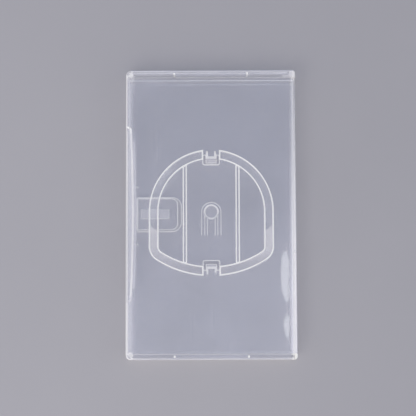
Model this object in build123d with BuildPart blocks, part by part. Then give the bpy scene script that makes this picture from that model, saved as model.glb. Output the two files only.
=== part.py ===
from build123d import *
import math
import os

# Clear hinged case for a small disc cartridge, closed and lying on its front cover.
# X runs from the opening edge to the spine, Y from foot to head, Z from the front face to the back.
# Cover, spine and tray are one moulding, folded at two living hinges that run along the spine.
# A clear film sleeve is welded round the outside. All sizes are in millimetres.

# Overall size
case_width = 104.0
case_height = 177.0
case_depth = 14.0
corner_radius = 3.0
rim_round = 0.5

# Moulding
panel_thickness = 1.0
wall_thickness = 1.2
corner_post_radius = 1.7
corner_post_inset = 2.7

# Film sleeve, which lies in a shallow recess between the end lips
film_thickness = 0.15
film_setback = 0.05
film_edge_gap = 0.2
film_head_gap = 1.2
film_seat_gap = 0.02
insert_gap = 0.3
weld_width = 1.2
head_lip = 4.4
foot_lip = 3.6
opening_rim = 1.0

# Living hinges, and the returns at the two ends of the spine
hinge_radius = 0.55
hinge_gap = 0.1
hinge_relief = 0.3
return_length = 3.6
return_gap = 0.4
spine_corner_radius = 2.2

# Parting of cover and tray, with the cover's tongue nested behind the tray's walls
parting_height = 7.0
parting_gap = 0.2
tongue_thickness = 1.0
tongue_gap = 0.4
tongue_rise = 2.4
tongue_root = 1.8
end_tongue_length = 42.0
side_tongue_length = 90.0
guide_rib_width = 1.2
guide_rib_depth = 1.4
guide_rib_gap = 0.8

# Finger recess in the opening edge
thumb_length = 106.0
thumb_depth = 2.3
thumb_run = 0.9
thumb_bow = 1.3
thumb_round = 0.9
gusset_spacing = 35.4
gusset_thickness = 1.0
gusset_length = 2.4
gusset_height = 3.2

# Booklet clip on the cover: a tab on a riser, over a window that frees its mould
clip_inset = 6.1
clip_offset = 0.8
clip_riser = 1.0
clip_rise = 1.5
clip_thickness = 1.0
window_length = 26.2
window_width = 20.6
window_round = 5.4
clip_end_gap = 1.7
clip_side_gap = 0.4
clip_round = 4.2
clip_pad_length = 17.4
clip_pad_width = 6.0
clip_pad_height = 0.6
clip_pad_offset = 1.7
clip_pad_round = 0.3
clip_bead_radius = 2.0
clip_bead_rise = 0.8

# Disc pocket on the tray, between two hollow C-shaped bars that are open to the back
disc_thickness = 4.2
disc_clearance = 0.2
pocket_offset = 1.5
pocket_radius = 32.1
pocket_foot = 33.5
foot_radius = 56.0
foot_corner_radius = 3.5
bar_width = 6.0
bar_wall = 0.9
bar_height = 5.6
bar_gap = 9.6
bar_round = 0.4

# Finger scoops that lower the bars at both sides of the disc
scoop_depth = 1.8
scoop_head = 25.0
scoop_inner_foot = 11.1
scoop_outer_foot = 5.1
scoop_bulge = 1.0

# Rails that carry the disc, cored from the back
rail_spacing = 32.2
rail_width = 2.6
rail_height = 1.4
rail_wall = 0.8
rail_end_overlap = 0.5

# Ramped boss under the disc's hub, with a cored round pad
hub_offset = 1.2
boss_width = 12.4
boss_length = 14.2
boss_height = 1.0
ridge_width = 8.5
ridge_groove = 4.2
ridge_height = 1.6
pad_radius = 4.6
pad_height = 2.2
pad_wall = 1.0
pad_round = 0.4

# Snap clips in the gaps of the bars
snap_width = 6.8
snap_thickness = 1.5
snap_seat_gap = 0.2
hook_reach = 2.0
hook_nose = 0.4
hook_lead = 1.3
snap_window_margin = 1.4
snap_window_round = 0.8
snap_slot = 2.0
prong_spacing = 4.9
prong_width = 1.1
prong_length = 3.4
prong_height = 4.5

# Levels and edges that follow from the sizes above
opening_x = -case_width / 2
spine_x = case_width / 2
head_y = case_height / 2
bed_head = head_y - head_lip
bed_foot = foot_lip - head_y
bed_length = bed_head - bed_foot
film_recess = film_setback + film_thickness + insert_gap
weld_depth = film_setback + film_thickness + film_seat_gap
skin = film_recess + panel_thickness
tray_floor = case_depth - skin
tray_back = case_depth - film_recess
hinge_x = spine_x - film_recess - hinge_radius
front_hinge_z = film_recess + hinge_radius
back_hinge_z = case_depth - front_hinge_z
web_outer = spine_x - film_recess
web_inner = web_outer - panel_thickness
bead_edge = web_inner - hinge_relief
lip_bead_radius = film_recess + hinge_radius
wall_end = spine_x - return_length - return_gap
cover_wall_top = parting_height - parting_gap / 2
tray_wall_foot = parting_height + parting_gap / 2
tongue_inset = wall_thickness + tongue_gap
tongue_top = tray_wall_foot + tongue_rise
film_x0 = opening_x + opening_rim
weld_x = film_x0 + weld_width

# Plan of a panel, square at the hinge and rounded at the opening edge
with BuildSketch() as plate_outline:
    with Locations((hinge_x, 0)):
        Rectangle(hinge_x - opening_x, case_height, align=(Align.MAX, Align.CENTER))
    fillet(plate_outline.vertices().group_by(Axis.X)[0], corner_radius)

# Plan of the outside of the walls, with the bowed finger recess and an open spine side
thumb_end = thumb_length / 2
thumb_x = opening_x + thumb_depth
thumb_shoulder = thumb_end - thumb_run
with BuildSketch() as wall_outline:
    with BuildLine():
        Polyline(
            (thumb_x, -thumb_shoulder),
            (opening_x, -thumb_end),
            (opening_x, -head_y),
            (spine_x, -head_y),
            (spine_x, head_y),
            (opening_x, head_y),
            (opening_x, thumb_end),
            (thumb_x, thumb_shoulder),
        )
        ThreePointArc((thumb_x, thumb_shoulder), (thumb_x + thumb_bow, 0), (thumb_x, -thumb_shoulder))
    make_face()
    edge_points = wall_outline.vertices().group_by(Axis.X)[0].sort_by(Axis.Y)
    fillet([edge_points[0], edge_points[-1]], corner_radius)
    fillet(wall_outline.vertices().filter_by_position(Axis.Y, -thumb_end, thumb_end), thumb_round)

# Plan of the walls, with a post that stiffens each corner at the opening edge
with BuildSketch() as wall_section:
    add(wall_outline.sketch)
    offset(wall_outline.sketch, amount=-wall_thickness, mode=Mode.SUBTRACT)
    with Locations(
        (opening_x + corner_post_inset, corner_post_inset - head_y),
        (opening_x + corner_post_inset, head_y - corner_post_inset),
    ):
        Circle(corner_post_radius)
    with Locations((wall_end, 0)):
        Rectangle(case_width, case_height, align=(Align.MIN, Align.CENTER), mode=Mode.SUBTRACT)

# Stretches of wall that have a tongue: the middle of both ends, and the finger recess
with BuildSketch() as tongue_zones:
    Rectangle(end_tongue_length, case_height)
    with Locations((opening_x, 0)):
        Rectangle(
            thumb_depth + thumb_bow + tongue_inset + 2 * tongue_thickness,
            side_tongue_length,
            align=(Align.MIN, Align.CENTER),
        )

with BuildSketch() as tongue_section:
    offset(wall_outline.sketch, amount=-tongue_inset, mode=Mode.ADD)
    offset(wall_outline.sketch, amount=-tongue_inset - tongue_thickness, mode=Mode.SUBTRACT)
    add(tongue_zones.sketch, mode=Mode.INTERSECT)

with BuildSketch() as tongue_root_section:
    offset(wall_outline.sketch, amount=-wall_thickness / 2, mode=Mode.ADD)
    offset(wall_outline.sketch, amount=-tongue_inset - tongue_thickness, mode=Mode.SUBTRACT)
    add(tongue_zones.sketch, mode=Mode.INTERSECT)

# Film recess in a panel's outer face, and the deeper room for an insert beside the weld ledges
with BuildSketch() as film_bed:
    with Locations((film_x0, bed_foot)):
        Rectangle(case_width, bed_length, align=(Align.MIN, Align.MIN))

with BuildSketch() as insert_bed:
    with Locations((weld_x, bed_head)):
        Rectangle(case_width, bed_length - weld_width, align=(Align.MIN, Align.MAX))
    with Locations((bead_edge, bed_foot)):
        Rectangle(case_width, bed_length, align=(Align.MIN, Align.MIN))

# Room for the hinge bead at a panel's edge, seen along the spine; the bead is fatter at the end lips
with BuildSketch(Plane.XZ) as bead_room:
    with Locations((hinge_x, front_hinge_z)):
        Circle(hinge_radius + hinge_gap)
    with Locations((bead_edge, front_hinge_z)):
        Rectangle(case_width, skin, align=(Align.MIN, Align.MIN))

# Panel with its rim, film recess and hinge edge; the cover has it this way up, the tray upside down
with BuildPart() as panel:
    extrude(plate_outline.sketch, amount=skin)
    outer_edges = panel.edges().group_by(Axis.Z)[0]
    fillet(outer_edges - outer_edges.group_by(Axis.X)[-1], rim_round)
    extrude(film_bed.sketch, amount=weld_depth, mode=Mode.SUBTRACT)
    extrude(insert_bed.sketch, amount=film_recess, mode=Mode.SUBTRACT)
    extrude(bead_room.sketch, amount=head_y, both=True, mode=Mode.SUBTRACT)
    for lip_foot, lip_head in ((-head_y, bed_foot), (bed_head, head_y)):
        with BuildSketch(Plane.XZ.offset(-lip_head)):
            with Locations((hinge_x, front_hinge_z)):
                Circle(lip_bead_radius + hinge_gap)
        extrude(amount=lip_head - lip_foot, mode=Mode.SUBTRACT)

# Front cover: panel, walls, tongue and booklet clip
clip_x = opening_x + clip_inset
window_x = clip_x + clip_riser
clip_width = window_width - 2 * clip_side_gap
clip_length = clip_riser + window_length - clip_end_gap
clip_top = skin + clip_rise + clip_thickness
gusset_y = gusset_spacing / 2
gusset_x = thumb_x + thumb_bow * (1 - (gusset_y / thumb_shoulder) ** 2) + wall_thickness / 2
with BuildPart() as front_cover:
    add(panel.part)
    with BuildSketch(Plane.XY.offset(skin)):
        add(wall_section.sketch)
    extrude(amount=cover_wall_top - skin)
    with BuildSketch(Plane.XY.offset(cover_wall_top - tongue_root)):
        add(tongue_root_section.sketch)
    extrude(amount=tongue_root)
    with BuildSketch(Plane.XY.offset(cover_wall_top)):
        add(tongue_section.sketch)
    extrude(amount=tongue_top - cover_wall_top)

    # Gussets that stiffen the wall of the finger recess
    with BuildSketch(Plane.XZ.offset(-gusset_y), Plane.XZ.offset(gusset_y)):
        with BuildLine():
            Polyline(
                (gusset_x, skin),
                (gusset_x + wall_thickness / 2 + gusset_length, skin),
                (gusset_x, skin + gusset_height),
                close=True,
            )
        make_face()
    extrude(amount=gusset_thickness / 2, both=True)

    # Window under the booklet clip
    with BuildSketch(Plane.XY.offset(film_recess)) as window:
        with Locations((window_x, clip_offset)):
            Rectangle(window_length, window_width, align=(Align.MIN, Align.CENTER))
        fillet(window.vertices().group_by(Axis.X)[-1], window_round)
    extrude(amount=panel_thickness, mode=Mode.SUBTRACT)

    # Riser with its stiffening bead, then the tab and the pad on it
    with BuildSketch(Plane.XY.offset(skin)):
        with Locations((window_x + clip_bead_rise - clip_bead_radius, clip_offset)):
            Circle(clip_bead_radius)
        with Locations((clip_x, clip_offset)):
            Rectangle(case_width, case_height, align=(Align.MAX, Align.CENTER), mode=Mode.SUBTRACT)
            Rectangle(clip_riser, clip_width, align=(Align.MIN, Align.CENTER))
    extrude(amount=clip_rise)
    with BuildSketch(Plane.XY.offset(skin + clip_rise)) as tab:
        with Locations((clip_x, clip_offset)):
            Rectangle(clip_length, clip_width, align=(Align.MIN, Align.CENTER))
        fillet(tab.vertices().group_by(Axis.X)[-1], clip_round)
    extrude(amount=clip_thickness)
    with BuildSketch(Plane.XY.offset(clip_top)):
        with Locations((window_x + clip_pad_offset, clip_offset)):
            Rectangle(clip_pad_length, clip_pad_width, align=(Align.MIN, Align.CENTER))
    extrude(amount=clip_pad_height)
    pad_level = clip_top + clip_pad_height
    fillet(front_cover.edges().filter_by_position(Axis.Z, pad_level, pad_level), clip_pad_round)

# Spine: web, hinge beads at both folds, thicker end lips and returns that close the corners
with BuildPart() as spine:
    with BuildSketch(Plane.XZ):
        with Locations((web_inner, front_hinge_z)):
            Rectangle(panel_thickness, back_hinge_z - front_hinge_z, align=(Align.MIN, Align.MIN))
        with Locations((hinge_x, front_hinge_z), (hinge_x, back_hinge_z)):
            Circle(hinge_radius)
    extrude(amount=head_y, both=True)
    for lip_foot, lip_head in ((-head_y, bed_foot - hinge_gap), (bed_head + hinge_gap, head_y)):
        with BuildSketch(Plane.XZ.offset(-lip_head)):
            with Locations((web_inner, front_hinge_z)):
                Rectangle(spine_x - web_inner, back_hinge_z - front_hinge_z, align=(Align.MIN, Align.MIN))
            with Locations((hinge_x, front_hinge_z), (hinge_x, back_hinge_z)):
                Circle(lip_bead_radius)
        extrude(amount=lip_head - lip_foot)
    with BuildSketch(Plane.XY.offset(skin + return_gap)):
        with Locations((spine_x, head_y)):
            Rectangle(return_length, wall_thickness, align=(Align.MAX, Align.MAX))
        with Locations((spine_x, -head_y)):
            Rectangle(return_length, wall_thickness, align=(Align.MAX, Align.MIN))
    extrude(amount=tray_floor - skin - 2 * return_gap)
    with BuildSketch() as spine_plan:
        with Locations((spine_x, 0)):
            Rectangle(case_width, case_height, align=(Align.MAX, Align.CENTER))
        fillet(spine_plan.vertices().group_by(Axis.X)[-1], spine_corner_radius)
    extrude(amount=case_depth, mode=Mode.INTERSECT)

# Plan of the disc pocket: a half round head, straight sides and a shallow bowed foot
foot_bow = foot_radius - math.sqrt(foot_radius**2 - pocket_radius**2)
side_foot = pocket_offset - pocket_foot + foot_bow
with BuildSketch() as pocket_outline:
    with BuildLine():
        CenterArc((0, pocket_offset), pocket_radius, 0, 180)
        Line((-pocket_radius, pocket_offset), (-pocket_radius, side_foot))
        ThreePointArc(
            (-pocket_radius, side_foot), (0, pocket_offset - pocket_foot), (pocket_radius, side_foot)
        )
        Line((pocket_radius, side_foot), (pocket_radius, pocket_offset))
    make_face()
    fillet(pocket_outline.vertices().group_by(Axis.Y)[0], foot_corner_radius)

# Plan of the two bars round the pocket, and of the channels that hollow them from the back
with BuildSketch() as bar_section:
    offset(pocket_outline.sketch, amount=bar_width, mode=Mode.ADD)
    add(pocket_outline.sketch, mode=Mode.SUBTRACT)
    Rectangle(bar_gap, case_height, mode=Mode.SUBTRACT)

with BuildSketch() as channel_section:
    offset(bar_section.sketch, amount=-bar_wall, mode=Mode.ADD)

# Finger scoop in the right-hand bar: it deepens towards the foot and ends in a slanted, curved step
bar_top = tray_floor - bar_height
scoop_slant = (scoop_inner_foot - scoop_outer_foot) / bar_width
scoop_inner_x = pocket_radius - bar_wall
scoop_outer_x = pocket_radius + bar_width + bar_wall
scoop_low = pocket_offset - scoop_inner_foot - scoop_slant * bar_wall
scoop_high = pocket_offset - scoop_outer_foot + scoop_slant * bar_wall
with BuildPart() as scoop:
    with BuildSketch(Plane.XY.offset(bar_top - bar_wall)):
        with BuildLine():
            SagittaArc((scoop_inner_x, scoop_low), (scoop_outer_x, scoop_high), -scoop_bulge)
            Polyline(
                (scoop_outer_x, scoop_high),
                (scoop_outer_x, pocket_offset + scoop_head),
                (bar_gap / 2, pocket_offset + scoop_head),
                (bar_gap / 2, scoop_low),
                (scoop_inner_x, scoop_low),
            )
        make_face()
    extrude(amount=bar_height)
    with BuildSketch(Plane.YZ):
        with BuildLine():
            Polyline(
                (pocket_offset + scoop_head, bar_top),
                (scoop_low, bar_top + scoop_depth),
                (scoop_low, bar_top - bar_wall),
                (pocket_offset + scoop_head, bar_top - bar_wall),
                close=True,
            )
        make_face()
    extrude(amount=case_width, mode=Mode.INTERSECT)
    mirror(about=Plane.YZ)

# Channels in the bars, which follow the scoops one wall deeper
with BuildPart() as channel:
    with BuildSketch(Plane.XY.offset(bar_top + bar_wall)):
        add(channel_section.sketch)
    extrude(amount=tray_back - bar_top - bar_wall)
    with Locations((0, -bar_wall * math.hypot(1, scoop_slant), bar_wall)):
        add(scoop.part, mode=Mode.SUBTRACT)

# Snap clip, drawn with its pocket face at Y = 0 and its foot on the tray's floor at Z = 0
hook_face = -(rail_height + disc_thickness + disc_clearance)
snap_tip = hook_face - hook_nose - hook_lead
with BuildPart() as snap_clip:
    with BuildSketch(Plane.YZ):
        with BuildLine():
            Polyline(
                (0, 0),
                (0, hook_face),
                (-hook_reach, hook_face),
                (-hook_reach, hook_face - hook_nose),
                (0, snap_tip),
                (snap_thickness, snap_tip),
                (snap_thickness, 0),
                close=True,
            )
        make_face()
    extrude(amount=snap_width / 2, both=True)
    with BuildSketch(Plane.YZ.offset(-prong_spacing / 2), Plane.YZ.offset(prong_spacing / 2)):
        with BuildLine():
            Polyline(
                (snap_thickness, 0),
                (snap_thickness, -prong_height),
                (snap_thickness + prong_length, 0),
                close=True,
            )
        make_face()
    extrude(amount=prong_width / 2, both=True)

# Window under the hook, drawn like the clip, with a slot along each of the clip's sides
with BuildSketch() as snap_window:
    with Locations((0, snap_slot)):
        Rectangle(bar_gap, snap_slot + hook_reach + snap_window_margin, align=(Align.CENTER, Align.MAX))
    fillet(snap_window.vertices(), snap_window_round)
    Rectangle(snap_width, snap_slot, align=(Align.CENTER, Align.MIN), mode=Mode.SUBTRACT)

# Rails that carry the disc, run a little way into the walls of the bars
with BuildSketch() as rail_zones:
    with GridLocations(rail_spacing, 0, 2, 1):
        Rectangle(rail_width, case_height)

with BuildSketch() as rail_section:
    offset(pocket_outline.sketch, amount=rail_end_overlap, mode=Mode.ADD)
    add(rail_zones.sketch, mode=Mode.INTERSECT)

with BuildSketch() as rail_core:
    offset(rail_section.sketch, amount=-rail_wall, mode=Mode.ADD)


def ramp_profile(height):
    """Side view of a boss tier: level at the hub, then falling to nothing towards the foot."""
    with BuildSketch(Plane.YZ) as profile:
        with BuildLine():
            Polyline(
                (hub_offset + boss_width, tray_floor),
                (hub_offset + boss_width, tray_floor - height),
                (hub_offset, tray_floor - height),
                (hub_offset - boss_length, tray_floor),
                close=True,
            )
        make_face()
    return profile.sketch


# Boss under the hub: a broad ramp with a round head, two ridges on it and a round pad
with BuildPart() as boss:
    with BuildSketch(Plane.XY.offset(tray_floor)):
        with Locations((0, hub_offset)):
            Circle(boss_width / 2)
            Rectangle(boss_width, boss_length, align=(Align.CENTER, Align.MAX))
    extrude(amount=-boss_height)
    extrude(ramp_profile(boss_height), amount=boss_width, both=True, mode=Mode.INTERSECT)

with BuildPart() as ridges:
    with BuildSketch(Plane.XY.offset(tray_floor)):
        with Locations((0, hub_offset)):
            Rectangle(ridge_width, boss_length, align=(Align.CENTER, Align.MAX))
            Rectangle(ridge_groove, boss_length, align=(Align.CENTER, Align.MAX), mode=Mode.SUBTRACT)
    extrude(amount=-ridge_height)
    extrude(ramp_profile(ridge_height), amount=ridge_width, both=True, mode=Mode.INTERSECT)

with BuildPart() as hub_pad:
    with BuildSketch(Plane.XY.offset(tray_floor)):
        with Locations((0, hub_offset)):
            Circle(pad_radius)
    extrude(amount=-pad_height)
    fillet(hub_pad.edges().group_by(Axis.Z)[0], pad_round)

# Back tray: panel, walls with guide ribs, and the disc holder
snap_head = pocket_offset + pocket_radius + snap_seat_gap
snap_foot = pocket_offset - pocket_foot - snap_seat_gap
guide_rib_x = end_tongue_length / 2 + guide_rib_gap + guide_rib_width / 2
with BuildPart() as back_tray:
    mirror(panel.part, about=Plane.XY.offset(case_depth / 2))
    with BuildSketch(Plane.XY.offset(tray_wall_foot)):
        add(wall_section.sketch)
    extrude(amount=tray_floor - tray_wall_foot)
    with BuildSketch(Plane.XY.offset(tray_wall_foot)):
        with Locations((-guide_rib_x, head_y - wall_thickness), (guide_rib_x, head_y - wall_thickness)):
            Rectangle(guide_rib_width, guide_rib_depth, align=(Align.CENTER, Align.MAX))
        mirror(about=Plane.XZ)
    extrude(amount=tray_floor - tray_wall_foot)

    # Bars, rounded along their free edges before the scoops and channels are cut
    with BuildSketch(Plane.XY.offset(bar_top)):
        add(bar_section.sketch)
    extrude(amount=bar_height)
    fillet(back_tray.edges().filter_by_position(Axis.Z, bar_top, bar_top), bar_round)
    add(scoop.part, mode=Mode.SUBTRACT)
    add(channel.part, mode=Mode.SUBTRACT)

    # Rails and boss, with the cores that keep their walls even
    with BuildSketch(Plane.XY.offset(tray_floor)):
        add(rail_section.sketch)
    extrude(amount=-rail_height)
    add(boss.part)
    add(ridges.part)
    add(hub_pad.part)
    with BuildSketch(Plane.XY.offset(tray_back)):
        add(rail_core.sketch)
    extrude(amount=-(tray_back - tray_floor + rail_height - rail_wall), mode=Mode.SUBTRACT)
    with BuildSketch(Plane.XY.offset(tray_back)):
        with Locations((0, hub_offset)):
            Circle(pad_radius - pad_wall)
    extrude(amount=-(tray_back - tray_floor + pad_height - pad_wall), mode=Mode.SUBTRACT)

    # Windows under the hooks, then the snap clips that stand between their slots
    snap_places = [Location((0, snap_head, tray_floor)), Location((0, snap_foot, tray_floor), (0, 0, 180))]
    with BuildSketch(*[Plane(place) for place in snap_places]):
        add(snap_window.sketch)
    extrude(amount=panel_thickness, mode=Mode.SUBTRACT)
    with Locations(*snap_places):
        add(snap_clip.part)

# Film sleeve, one sheet that folds with the hinges: front, spine and back
film_x1 = hinge_x - film_edge_gap / 2
film_foot = bed_foot + film_edge_gap
film_length = bed_length - film_edge_gap - film_head_gap
with BuildPart() as front_film:
    with BuildSketch(Plane.XY.offset(film_setback)):
        with Locations((film_x1, film_foot)):
            Rectangle(film_x1 - film_x0 - film_edge_gap, film_length, align=(Align.MAX, Align.MIN))
    extrude(amount=film_thickness)

with BuildPart() as spine_film:
    with BuildSketch(Plane.YZ.offset(spine_x - film_setback)):
        with Locations((film_foot, case_depth / 2)):
            Rectangle(
                film_length,
                back_hinge_z - front_hinge_z - film_edge_gap,
                align=(Align.MIN, Align.CENTER),
            )
    extrude(amount=-film_thickness)

with BuildPart() as back_film:
    mirror(front_film.part, about=Plane.XY.offset(case_depth / 2))

os.makedirs("parts", exist_ok=True)
pieces = {
    "front_cover": front_cover,
    "spine": spine,
    "back_tray": back_tray,
    "front_film": front_film,
    "spine_film": spine_film,
    "back_film": back_film,
}
for node, piece in pieces.items():
    piece.part.label = node
    export_step(piece.part, f"parts/{node}.step")
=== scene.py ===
"""Looks of the game disc case: a clear moulding with painted highlights on its wall ends and edges, a loose
film and a grey studio.
"""

import logging
import math
from dataclasses import dataclass, replace
from enum import Enum, IntEnum, auto

import bmesh
import bpy
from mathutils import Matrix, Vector, noise
from mathutils.bvhtree import BVHTree


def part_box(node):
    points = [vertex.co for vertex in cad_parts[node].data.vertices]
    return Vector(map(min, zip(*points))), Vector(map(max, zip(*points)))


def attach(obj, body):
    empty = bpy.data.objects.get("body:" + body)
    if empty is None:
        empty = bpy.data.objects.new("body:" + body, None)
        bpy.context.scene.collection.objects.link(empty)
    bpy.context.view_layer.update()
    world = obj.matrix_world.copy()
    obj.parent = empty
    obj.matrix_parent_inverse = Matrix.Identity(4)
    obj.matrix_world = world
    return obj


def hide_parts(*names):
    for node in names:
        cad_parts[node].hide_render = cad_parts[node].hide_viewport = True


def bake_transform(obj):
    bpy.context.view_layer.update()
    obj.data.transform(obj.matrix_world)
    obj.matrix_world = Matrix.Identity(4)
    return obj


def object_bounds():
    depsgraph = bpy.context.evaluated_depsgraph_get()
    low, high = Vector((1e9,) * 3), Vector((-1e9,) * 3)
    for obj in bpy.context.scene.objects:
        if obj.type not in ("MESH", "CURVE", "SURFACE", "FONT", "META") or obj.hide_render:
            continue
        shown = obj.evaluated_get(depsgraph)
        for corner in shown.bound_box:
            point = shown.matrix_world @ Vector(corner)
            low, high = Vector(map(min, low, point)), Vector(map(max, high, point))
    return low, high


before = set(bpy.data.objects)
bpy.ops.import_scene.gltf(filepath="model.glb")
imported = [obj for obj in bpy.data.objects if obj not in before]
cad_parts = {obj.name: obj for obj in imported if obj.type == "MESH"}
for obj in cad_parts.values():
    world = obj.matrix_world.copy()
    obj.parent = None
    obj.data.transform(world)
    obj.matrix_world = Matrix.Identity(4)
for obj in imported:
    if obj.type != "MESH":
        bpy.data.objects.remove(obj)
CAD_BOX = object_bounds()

LOG = logging.getLogger("disc_case")
MM = 0.001

# Where the pale webs of the disc holder's bars fade out, towards the foot
BAR_FADE = (-0.018, -0.034)

# How far the pale borders of the sleeve reach in, from the opening edge and from the spine, and where the
# first one is strongest, beside the finger recess
RIM_SPREAD = 10.0 * MM
RIM_FADE = (0.056, 0.048)
# The border by the spine is partly whitening of the crease and partly a painted highlight of the fold
CREASE_SPREAD = 4.6 * MM
CREASE_FULL = 2.0 * MM

# Height of the booklet clip's tab, whose riser shows through it
CLIP_TAB_TOP = 4.0 * MM

# Where the lip at the foot ends, whose low step shows as a line
FOOT_LIP = (-0.0852, -0.0846)

# The end walls: how thick they are, and how far out from their middle their painted highlight line starts
# and is full
END_WALL = 1.2 * MM
END_HIGHLIGHT = (-0.3 * MM, 0.1 * MM)

# Points and levels nearer than this are the same
SAME_POINT = 1e-6
SAME_LEVEL = 1e-7

# Upright share of a face's normal: the least of a flat face, the most of a wall and the least of a slope
FLAT_LEAN = 0.985
WALL_LEAN = 0.3
SLOPE_LEAN = 0.2

# The angle between two faces from which their edge is sharp, and the same for the moulded pieces
SHARP_FROM = math.radians(40.0)
MOULDED_SHARP_FROM = math.radians(14.0)

# Least share of a face's normal along one axis, for a face that stands square in the case
SQUARE_LEAN = 0.9

# How far inside a face a ray starts
RAY_START = 0.002 * MM

# Refraction of the plastic, and how its shine grows towards a grazing view
PLASTIC_IOR = 1.49
GRAZING_POWER = 5.0
GRAZING_SHINE = 0.9

# How much a mark of handling covers and dulls the plastic
MARK_COVER = 0.12
MARK_DULL = 0.3

# Where a hair-fine scratch starts and how steeply it grows, and the same for a speck of dust
HAIR_FROM, HAIR_GAIN = 0.68, 9.0
SPECK_SIZE, SPECK_GAIN = 0.055, 18.0

Colour = tuple[float, float, float]
Tree = bpy.types.NodeTree
Node = bpy.types.Node
Socket = bpy.types.NodeSocket
Value = Socket | float
Material = bpy.types.Material
Object = bpy.types.Object
Shape = bmesh.types.BMesh
Face = bmesh.types.BMFace
Level = tuple[int, int, int]
Cells = dict[tuple, list]


class Side(Enum):
    """The way that the outer skin of a moulded piece faces."""

    BACK = auto()
    FRONT = auto()
    SPINE = auto()


class Look(IntEnum):
    """The material slots of a moulded piece, in order."""

    CLEAR = 0
    EDGE = 1
    DEEP = 2
    WEB = 3
    BAR = 4
    FAINT = 5
    END = 6
    SPINE = 7


# Shader groups


def add_node(tree: Tree, kind: str, **values: object) -> Node:
    """Adds a shader node and sets or links its inputs.

    Args:
        tree: the node tree of a material or a group.
        kind: the node's type, without the leading ShaderNode.
        values: what goes into its inputs, by name with _ for a space, or the node's own settings.

    Returns:
        The new node.
    """
    node = tree.nodes.new("ShaderNode" + kind)
    for name, value in values.items():
        socket = node.inputs.get(name.replace("_", " "))
        if socket is None:
            setattr(node, name, value)
        elif isinstance(value, Socket):
            tree.links.new(value, socket)
        else:
            socket.default_value = value
    return node


def maths(
    tree: Tree, operation: str, first: Value, second: Value, third: Value | None = None, clamp: bool = False
) -> Socket:
    """Adds a Math node.

    Args:
        tree: the node tree of a material or a group.
        operation: the Math node's operation.
        first: a socket or a number.
        second: a socket or a number.
        third: a socket or a number, for operations that take three.
        clamp: whether the result is kept from 0 to 1.

    Returns:
        The node's output socket.
    """
    node = add_node(tree, "Math", operation=operation, use_clamp=clamp)
    for socket, value in zip(node.inputs, (first, second, third)):
        if isinstance(value, Socket):
            tree.links.new(value, socket)
        elif value is not None:
            socket.default_value = value
    return node.outputs[0]


def ramp(tree: Tree, value: Socket, start: float, end: float) -> Socket:
    """Adds a soft ramp.

    Args:
        tree: the node tree of a material, a group or a world.
        value: the number to map.
        start: where the ramp is 0.
        end: where it is 1.

    Returns:
        The ramp's output socket.
    """
    soft = add_node(
        tree, "MapRange", Value=value, From_Min=start, From_Max=end, interpolation_type="SMOOTHSTEP"
    )
    return soft.outputs[0]


def colour_between(tree: Tree, share: Socket, first: Colour, second: Colour) -> Socket:
    """Adds a mix of two colours.

    Args:
        tree: the node tree of a material or a world.
        share: the share of the second colour.
        first: the colour where the share is 0.
        second: the colour where it is 1.

    Returns:
        The mixed colour's socket.
    """
    node = add_node(tree, "Mix", data_type="RGBA")
    node.inputs[6].default_value = (*first, 1.0)
    node.inputs[7].default_value = (*second, 1.0)
    tree.links.new(share, node.inputs[0])
    return node.outputs[2]


def new_group(name: str, inputs: dict[str, float], outputs: tuple[str, ...]) -> tuple[Tree, Node, Node]:
    """Starts a shader node group that takes a Vector and some numbers.

    Args:
        name: the group's name.
        inputs: its number inputs with their usual values.
        outputs: the names of the numbers that it puts out.

    Returns:
        The group's tree, its input node and its output node.
    """
    tree = bpy.data.node_groups.new(name, "ShaderNodeTree")
    tree.interface.new_socket("Vector", in_out="INPUT", socket_type="NodeSocketVector")
    for label, value in inputs.items():
        socket = tree.interface.new_socket(label, in_out="INPUT", socket_type="NodeSocketFloat")
        socket.default_value = value
    for label in outputs:
        tree.interface.new_socket(label, in_out="OUTPUT", socket_type="NodeSocketFloat")
    return tree, tree.nodes.new("NodeGroupInput"), tree.nodes.new("NodeGroupOutput")


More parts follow.
